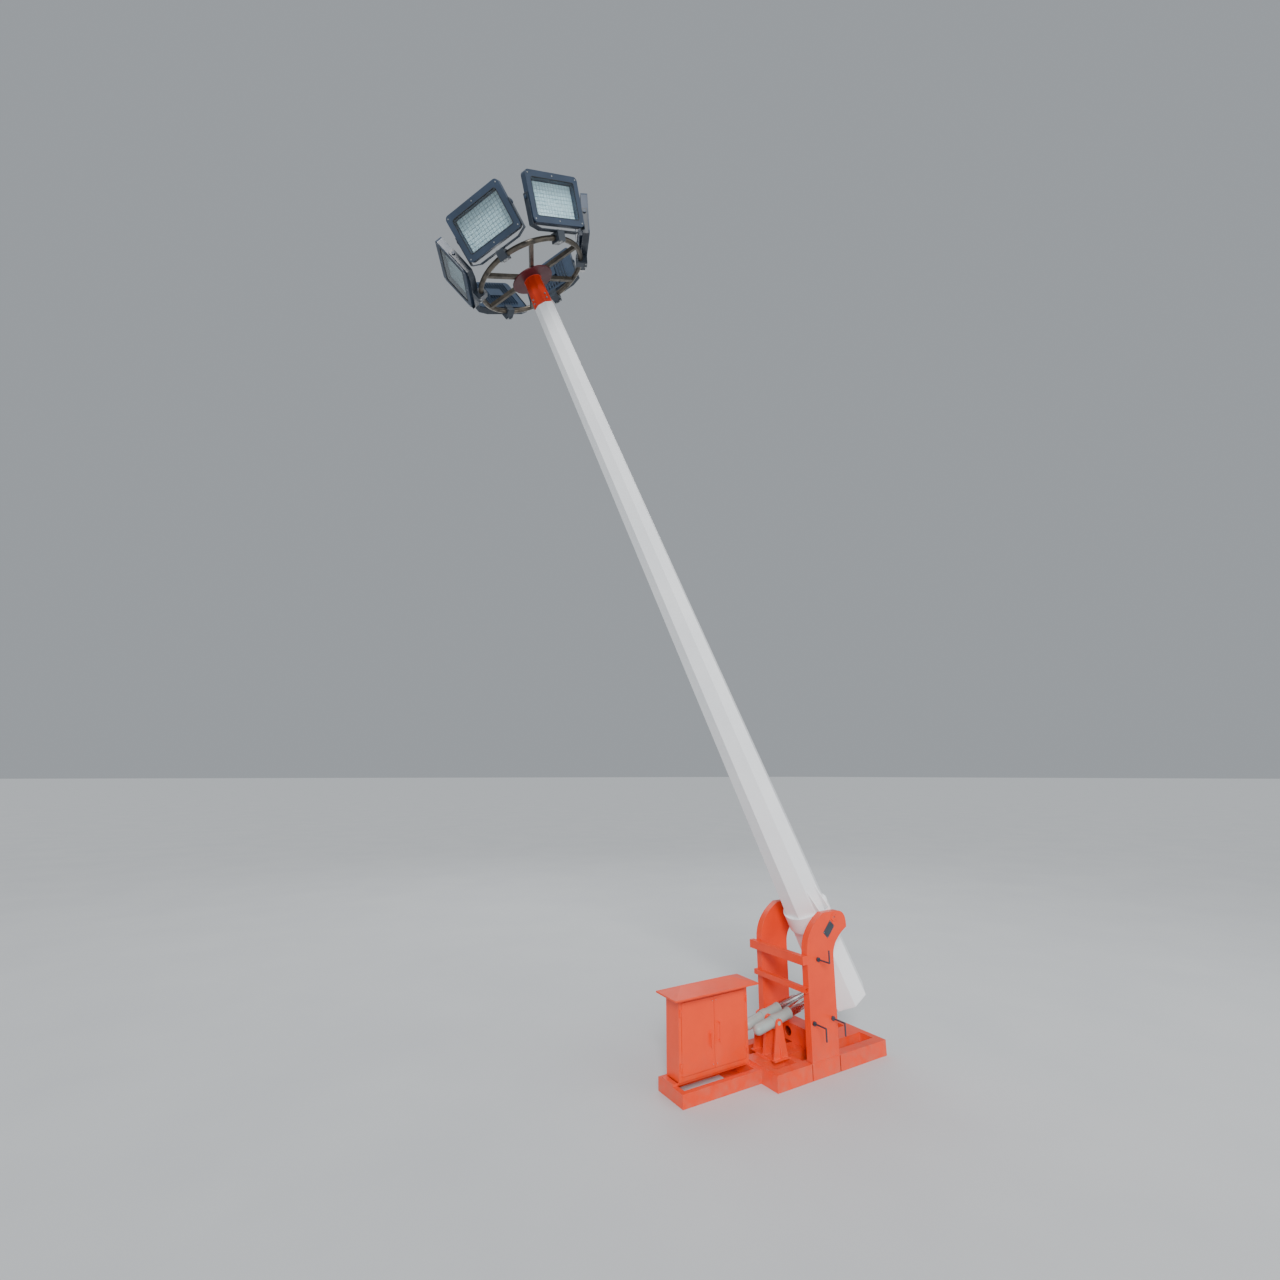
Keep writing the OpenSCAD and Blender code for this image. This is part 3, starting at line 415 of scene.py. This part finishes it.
# %% Lamp fronts
CELL_COLUMNS, CELL_ROWS = 14, 9
BOARD_W, BOARD_H = 0.468, 0.278
BOARD_MARGIN = 0.004
BOARD_BACK, BOARD_FRONT = -0.0122, -0.0116
PAD_FLOOR, PAD_SHOULDER, PAD_TOP = -0.0118, -0.006, -0.004
SEAL_GAP, SEAL_CORNER, SEAL_PROUD, SEAL_RADIUS = 0.003, 0.019, 0.001, 0.0035
SCREW_INSET, SCREW_SINK, SCREW_RADIUS, SCREW_HEIGHT = 0.026, 0.0005, 0.006, 0.004
SQUARE = ((-1, -1), (1, -1), (1, 1), (-1, 1))


def rounded(width, height, corner, z, steps=6):
    """Closed path round a rectangle with round corners."""
    path = []
    for cx, cy, start in ((1, 1, 0), (-1, 1, 90), (-1, -1, 180), (1, -1, 270)):
        for s in range(steps + 1):
            turn = math.radians(start + 90 * s / steps)
            path.append(Vector((cx * (width / 2 - corner) + corner * math.cos(turn),
                                cy * (height / 2 - corner) + corner * math.sin(turn), z)))
    return path


def pads():
    """Lens pads as low frustums with a lane between them."""
    parts = []
    step_x, step_y = BOARD_W / CELL_COLUMNS, BOARD_H / CELL_ROWS
    for i in range(CELL_COLUMNS):
        for j in range(CELL_ROWS):
            cx = -BOARD_W / 2 + (i + 0.5) * step_x
            cy = -BOARD_H / 2 + (j + 0.5) * step_y
            points = []
            for share, z in ((0.46, PAD_FLOOR), (0.44, PAD_SHOULDER), (0.36, PAD_TOP)):
                for sx, sy in SQUARE:
                    points.append(Vector((cx + sx * share * step_x, cy + sy * share * step_y, z)))
            faces = [(0, 1, 5, 4), (1, 2, 6, 5), (2, 3, 7, 6), (3, 0, 4, 7),
                     (4, 5, 9, 8), (5, 6, 10, 9), (6, 7, 11, 10), (7, 4, 8, 11),
                     (8, 9, 10, 11), (3, 2, 1, 0)]
            parts.append((points, faces))
    return joined(parts)


def panel(width, height, z0, z1):
    """Flat plate between two levels."""
    x, y = width / 2, height / 2
    points = [Vector((sx * x, sy * y, z)) for z in (z0, z1) for sx, sy in SQUARE]
    faces = [(3, 2, 1, 0), (4, 5, 6, 7), (0, 1, 5, 4), (1, 2, 6, 5), (2, 3, 7, 6), (3, 0, 4, 7)]
    return points, faces


for k in range(LAMP_COUNT):
    place = lamp_frame(k)
    body = f"floodlight_{k + 1}"
    points, faces = pads()
    piece(f"led_lenses_{k + 1}", [place @ p for p in points], faces, led_lens, body, "lamp_case")
    points, faces = panel(BOARD_W + BOARD_MARGIN, BOARD_H + BOARD_MARGIN, BOARD_BACK, BOARD_FRONT)
    piece(f"led_board_{k + 1}", [place @ p for p in points], faces, led_board, body, "lamp_case")
    seal_w, seal_h = LAMP_W - 2 * BORDER - SEAL_GAP, LAMP_H - 2 * BORDER - SEAL_GAP
    seal = rounded(seal_w, seal_h, SEAL_CORNER, GLASS_FACE + SEAL_PROUD)
    points, faces = tube(seal, SEAL_RADIUS, closed=True)
    piece(f"glass_seal_{k + 1}", [place @ p for p in points], faces, seal_rubber, body, "lamp_case", True)
    screws = []
    for sx, sy in SQUARE + ((0, 1), (0, -1)):
        x, y = sx * (LAMP_W / 2 - SCREW_INSET), sy * (LAMP_H / 2 - SCREW_INSET)
        at = Matrix.Translation((x, y, BEZEL_FACE - SCREW_SINK))
        screws.append(stud(place @ at, SCREW_RADIUS, SCREW_HEIGHT))
    points, faces = joined(screws)
    piece(f"bezel_screws_{k + 1}", points, faces, zinc, body, "zinc_steel")
print("six lamp fronts with", CELL_COLUMNS * CELL_ROWS, "lens pads each")

# %% [markdown]
# Weld beads run where plates meet. Each is a thin rippled cord half sunk in the corner.

# %% Weld beads
BEAD, BEAD_SIDES = 0.0045, 6
RIPPLE, SWELL = 0.007, 0.12
SKID_Y, SKID_TOP = 0.365, 0.145
BEAD_LIFT = 0.001
UPRIGHT_BACK, UPRIGHT_FRONT, UPRIGHT_INNER = -0.300, 0.065, 0.290
CROSSBEAM_X, CROSSBEAM_TOP, CROSSBEAM_END = -0.110, 0.315, 0.070
TUBE_FOOT, TUBE_TOP = 1.000, 1.080
JOIN_X, SUB_TOP, SUB_EDGES = -0.750, 0.115, (-0.145, 0.245)
BRACKET_EDGES, BRACKET_HALF = (-0.595, -0.395), 0.100
WRAP, FLOOR_GAP = 0.012, 0.004
SIDE_PLATE_EDGE = 0.069
SIDE_PLATE_LOW, SIDE_PLATE_HIGH = (0.216, -0.34), (0.207, 0.29)
SOCKET_NECK, FLANGE_RISE = 0.088, 0.290


def run(start, end):
    """Points along a straight weld, one per ripple."""
    a, b = Vector(start), Vector(end)
    count = max(2, int((b - a).length / RIPPLE))
    return [a.lerp(b, i / count) for i in range(count + 1)]


def ring_of(radius, height, count=160):
    """Points round the mast's axis at a height above the trunnions."""
    return [mast_frame @ Vector((radius * math.cos(2 * math.pi * i / count),
                                 radius * math.sin(2 * math.pi * i / count), height))
            for i in range(count)]


deck = SKID_TOP + BEAD_LIFT
foot = SKID_TOP + BEAD_LIFT / 2
skid_runs = []
for y in (-SKID_Y, SKID_Y):
    skid_runs.append(run((UPRIGHT_BACK - WRAP, y, foot), (UPRIGHT_FRONT + WRAP, y, foot)))
for y in (-UPRIGHT_INNER, UPRIGHT_INNER):
    skid_runs.append(run((UPRIGHT_BACK, y, deck), (CROSSBEAM_X, y, deck)))
    skid_runs.append(run((CROSSBEAM_X, y, CROSSBEAM_TOP), (CROSSBEAM_END, y, CROSSBEAM_TOP)))
    skid_runs.append(run((CROSSBEAM_X, y, deck), (CROSSBEAM_X, y, CROSSBEAM_TOP)))
    skid_runs.append(run((UPRIGHT_BACK, y, TUBE_FOOT), (UPRIGHT_BACK, y, TUBE_TOP)))
for y in SUB_EDGES:
    skid_runs.append(run((JOIN_X, y, FLOOR_GAP), (JOIN_X, y, SUB_TOP)))
skid_runs.append(run((JOIN_X, SUB_EDGES[0], SUB_TOP), (JOIN_X, SUB_EDGES[1], SUB_TOP)))
for x in BRACKET_EDGES:
    skid_runs.append(run((x, -BRACKET_HALF, deck), (x, BRACKET_HALF, deck)))
points, faces = joined([tube(path, BEAD, BEAD_SIDES, ripple=SWELL) for path in skid_runs])
piece("skid_welds", points, faces, skid_enamel, "base", "skid_paint", True)

mast_runs = []
for side in (-1, 1):
    for x in (-SIDE_PLATE_EDGE, SIDE_PLATE_EDGE):
        ends = [mast_frame @ Vector((x, side * y, z)) for y, z in (SIDE_PLATE_LOW, SIDE_PLATE_HIGH)]
        mast_runs.append(run(*ends))
points, faces = joined([tube(path, BEAD, BEAD_SIDES, ripple=SWELL) for path in mast_runs])
piece("mast_welds", points, faces, mast_coat, "mast", "mast_paint", True)
neck = ring_of(SOCKET_NECK, POLE_TOP + FLANGE_RISE)
points, faces = tube(neck, BEAD, BEAD_SIDES, closed=True, ripple=SWELL)
piece("flange_weld", points, faces, socket_enamel, "mast", "socket_paint", True)
print(len(skid_runs), "welds on the skid,", len(mast_runs) + 1, "on the mast")

# %% [markdown]
# The doors close on round lock covers, and a dark slate plate is riveted to the near upright as painted
# shade for the recess at its top.

# %% Door covers and the painted shade plate
DOOR_MID, DOOR_FACE = -1.176, -0.006
LOCK_OUT, LOCK_SINK, LOCK_LEVELS = 0.022, 0.0038, (0.209, 0.739)
LOCK_RADIUS, LOCK_HEIGHT = 0.0045, 0.002
PLATE_MIDDLE = (0.020, -0.3648, 1.285)
PLATE_W, PLATE_H, PLATE_THICK = 0.150, 0.085, 0.0022
RIVET_X, RIVET_Y, RIVET_BASE = 0.066, 0.034, 0.002
RIVET_RADIUS, RIVET_HEIGHT = 0.0035, 0.002
outward = Matrix.Rotation(QUARTER, 4, "X")
for side, body in ((-1, "left_door"), (1, "right_door")):
    covers = []
    for z in LOCK_LEVELS:
        at = Matrix.Translation((DOOR_MID + side * LOCK_OUT, DOOR_FACE - LOCK_SINK, z))
        covers.append(stud(at @ outward, LOCK_RADIUS, LOCK_HEIGHT))
    points, faces = joined(covers)
    piece("lock_covers_" + body.removesuffix("_door"), points, faces, zinc, body, "zinc_steel")

# the dark slate plate is painted shade: it stands in for the shade in the recess at the top of the near
# upright, beside the trunnion plates
lie_along_arm = Matrix.Rotation(math.radians(-45), 4, "Y")
plate_frame = Matrix.Translation(PLATE_MIDDLE) @ lie_along_arm @ outward
points, faces = panel(PLATE_W, PLATE_H, 0.0, PLATE_THICK)
piece("painted_shade_plate", [plate_frame @ p for p in points], faces, slate_enamel, "base", "slate_steel")
rivets = []
for sx, sy in SQUARE:
    at = Matrix.Translation((sx * RIVET_X, sy * RIVET_Y, RIVET_BASE))
    rivets.append(stud(plate_frame @ at, RIVET_RADIUS, RIVET_HEIGHT))
points, faces = joined(rivets)
piece("plate_rivets", points, faces, zinc, "base", "zinc_steel")
print("lock covers and the blank plate")

# %% [markdown]
# A pale floor and a grey surround, with a soft distant key light, a fill and a rim light.

# %% Floor and light
FLOOR_HALF, FLOOR_DROP = 600.0, 0.001
SURROUND_STRENGTH = 0.68


def floor_material():
    """Matt studio floor with a very slight cloud."""
    mat, tree, shader = new_material("pale_studio_floor")
    place = add(tree, "TexCoord").outputs["Object"]
    cloud = ramp(tree, noise(tree, place, 1.5, 3.0), 0.3, 0.7)
    tree.links.new(blend(tree, cloud, "#D3D5D6", "#CED0D2"), shader.inputs["Base Color"])
    shader.inputs["Roughness"].default_value = 0.85
    return mat


mesh = bpy.data.meshes.new("studio_floor")
rim = [(FLOOR_HALF * sx, FLOOR_HALF * sy, 0) for sx, sy in SQUARE]
mesh.from_pydata(rim, [], [(0, 1, 2, 3)])
mesh.materials.append(floor_material())
floor = bpy.data.objects.new("studio_floor", mesh)
floor.location.z = -FLOOR_DROP
bpy.context.scene.collection.objects.link(floor)

world = bpy.data.worlds.new("soft_surround")
world.use_nodes = True
sky = world.node_tree.nodes["Background"]
sky.inputs["Color"].default_value = light("#BFC5CB")
sky.inputs["Strength"].default_value = SURROUND_STRENGTH
bpy.context.scene.world = world


def lamp_at(name, place, target, power, width, kind="AREA"):
    """Soft light aimed at a point: a square panel, or a far one whose width is an angle."""
    data = bpy.data.lights.new(name, kind)
    data.energy = power
    if kind == "SUN":
        data.angle = width
    else:
        data.size = width
    made = bpy.data.objects.new(name, data)
    made.location = place
    made.rotation_euler = (Vector(target) - Vector(place)).to_track_quat("-Z", "Y").to_euler()
    bpy.context.scene.collection.objects.link(made)


lamp_at("key_light", (-7.0, -8.5, 8.0), (-1.0, 0.0, 2.0), 3.0, math.radians(20), "SUN")
lamp_at("fill_light", (5.0, -9.0, 7.0), (-1.0, 0.0, 3.0), 420.0, 10.0)
lamp_at("rim_light", (2.0, 9.0, 12.0), (-1.5, 0.0, 4.0), 520.0, 10.0)
print("floor, surround and three lights")

# %% [markdown]
# The camera stands 2.8 m up: above the skid and cabinet, and well below the crown.

# %% Camera
EYE = Vector((-5.044, -5.069, 2.807))
YAW, PITCH = math.radians(58.87), math.radians(12.43)
SENSOR_MM, LENS_MM = 36.0, 17.18
data = bpy.data.cameras.new("camera")
data.sensor_width = SENSOR_MM
data.lens = LENS_MM
camera = bpy.data.objects.new("camera", data)
ahead = Vector((math.cos(YAW) * math.cos(PITCH), math.sin(YAW) * math.cos(PITCH), math.sin(PITCH)))
camera.location = EYE
camera.rotation_euler = ahead.to_track_quat("-Z", "Y").to_euler()
bpy.context.scene.collection.objects.link(camera)
bpy.context.scene.camera = camera
print("camera looks", [round(c, 2) for c in ahead])
